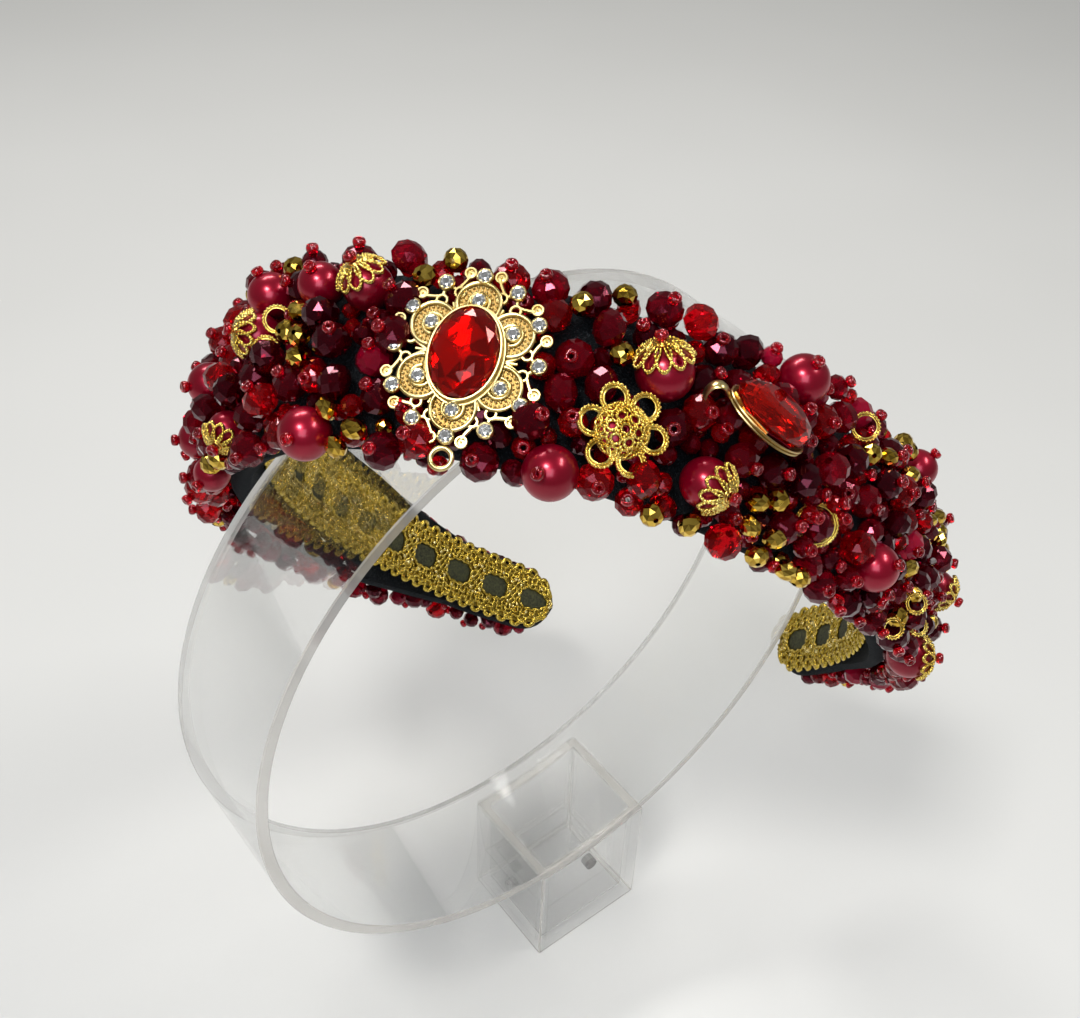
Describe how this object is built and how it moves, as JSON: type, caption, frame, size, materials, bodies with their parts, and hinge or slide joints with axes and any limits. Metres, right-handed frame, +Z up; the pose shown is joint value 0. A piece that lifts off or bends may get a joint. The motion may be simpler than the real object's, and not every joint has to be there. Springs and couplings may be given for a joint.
{
  "type": "beaded velvet headband on a clear display stand",
  "caption": "Padded velvet headband covered in red pearls, faceted beads and gilt filigree, lined with metallic braid, resting on a clear hoop stand.",
  "frame": {"origin": "on the underside of the stand's base, straight below the hoop's centre", "axes": "+Z up, +Y along the hoop's axis, +X across the hoop"},
  "size_m": [0.1625, 0.1434, 0.213],
  "materials": {
    "clear_acrylic": "clear, polished",
    "black_velvet": "short pile",
    "metallic_braid": "looped metallic thread",
    "garnet_crystal": "faceted, lustred",
    "raspberry_pearl": "pearl lacquer",
    "gold_filigree": "bright gilt",
    "pale_gold": "bright pale gilt",
    "red_stone": "faceted, foiled"
  },
  "bodies": {
    "root": {"bead_cap_01": "gold_filigree", "bead_cap_02": "gold_filigree", "bead_cap_03": "gold_filigree", "bead_cap_04": "gold_filigree", "bead_cap_05": "gold_filigree", "bead_cap_06": "gold_filigree", "bead_cap_07": "gold_filigree", "bead_field_left": "garnet_crystal", "bead_field_right": "garnet_crystal", "flower_filigree": "gold_filigree", "gold_braid": "metallic_braid", "medallion_setting": "pale_gold", "medallion_stone": "red_stone", "pearl_01": "raspberry_pearl", "pearl_02": "raspberry_pearl", "pearl_03": "raspberry_pearl", "pearl_04": "raspberry_pearl", "pearl_05": "raspberry_pearl", "pearl_06": "raspberry_pearl", "pearl_07": "raspberry_pearl", "pearl_08": "raspberry_pearl", "pearl_09": "raspberry_pearl", "pearl_10": "raspberry_pearl", "pearl_11": "raspberry_pearl", "pearl_12": "raspberry_pearl", "pearl_13": "raspberry_pearl", "pearl_14": "raspberry_pearl", "pearl_15": "raspberry_pearl", "pearl_16": "raspberry_pearl", "pearl_17": "raspberry_pearl", "pearl_18": "raspberry_pearl", "pearl_19": "raspberry_pearl", "pearl_20": "raspberry_pearl", "pearl_21": "raspberry_pearl", "pendant_cup": "pale_gold", "pendant_stone": "red_stone", "stand_base": "clear_acrylic", "stand_hoop": "clear_acrylic", "velvet_band": "black_velvet"}
  },
  "joints": []
}
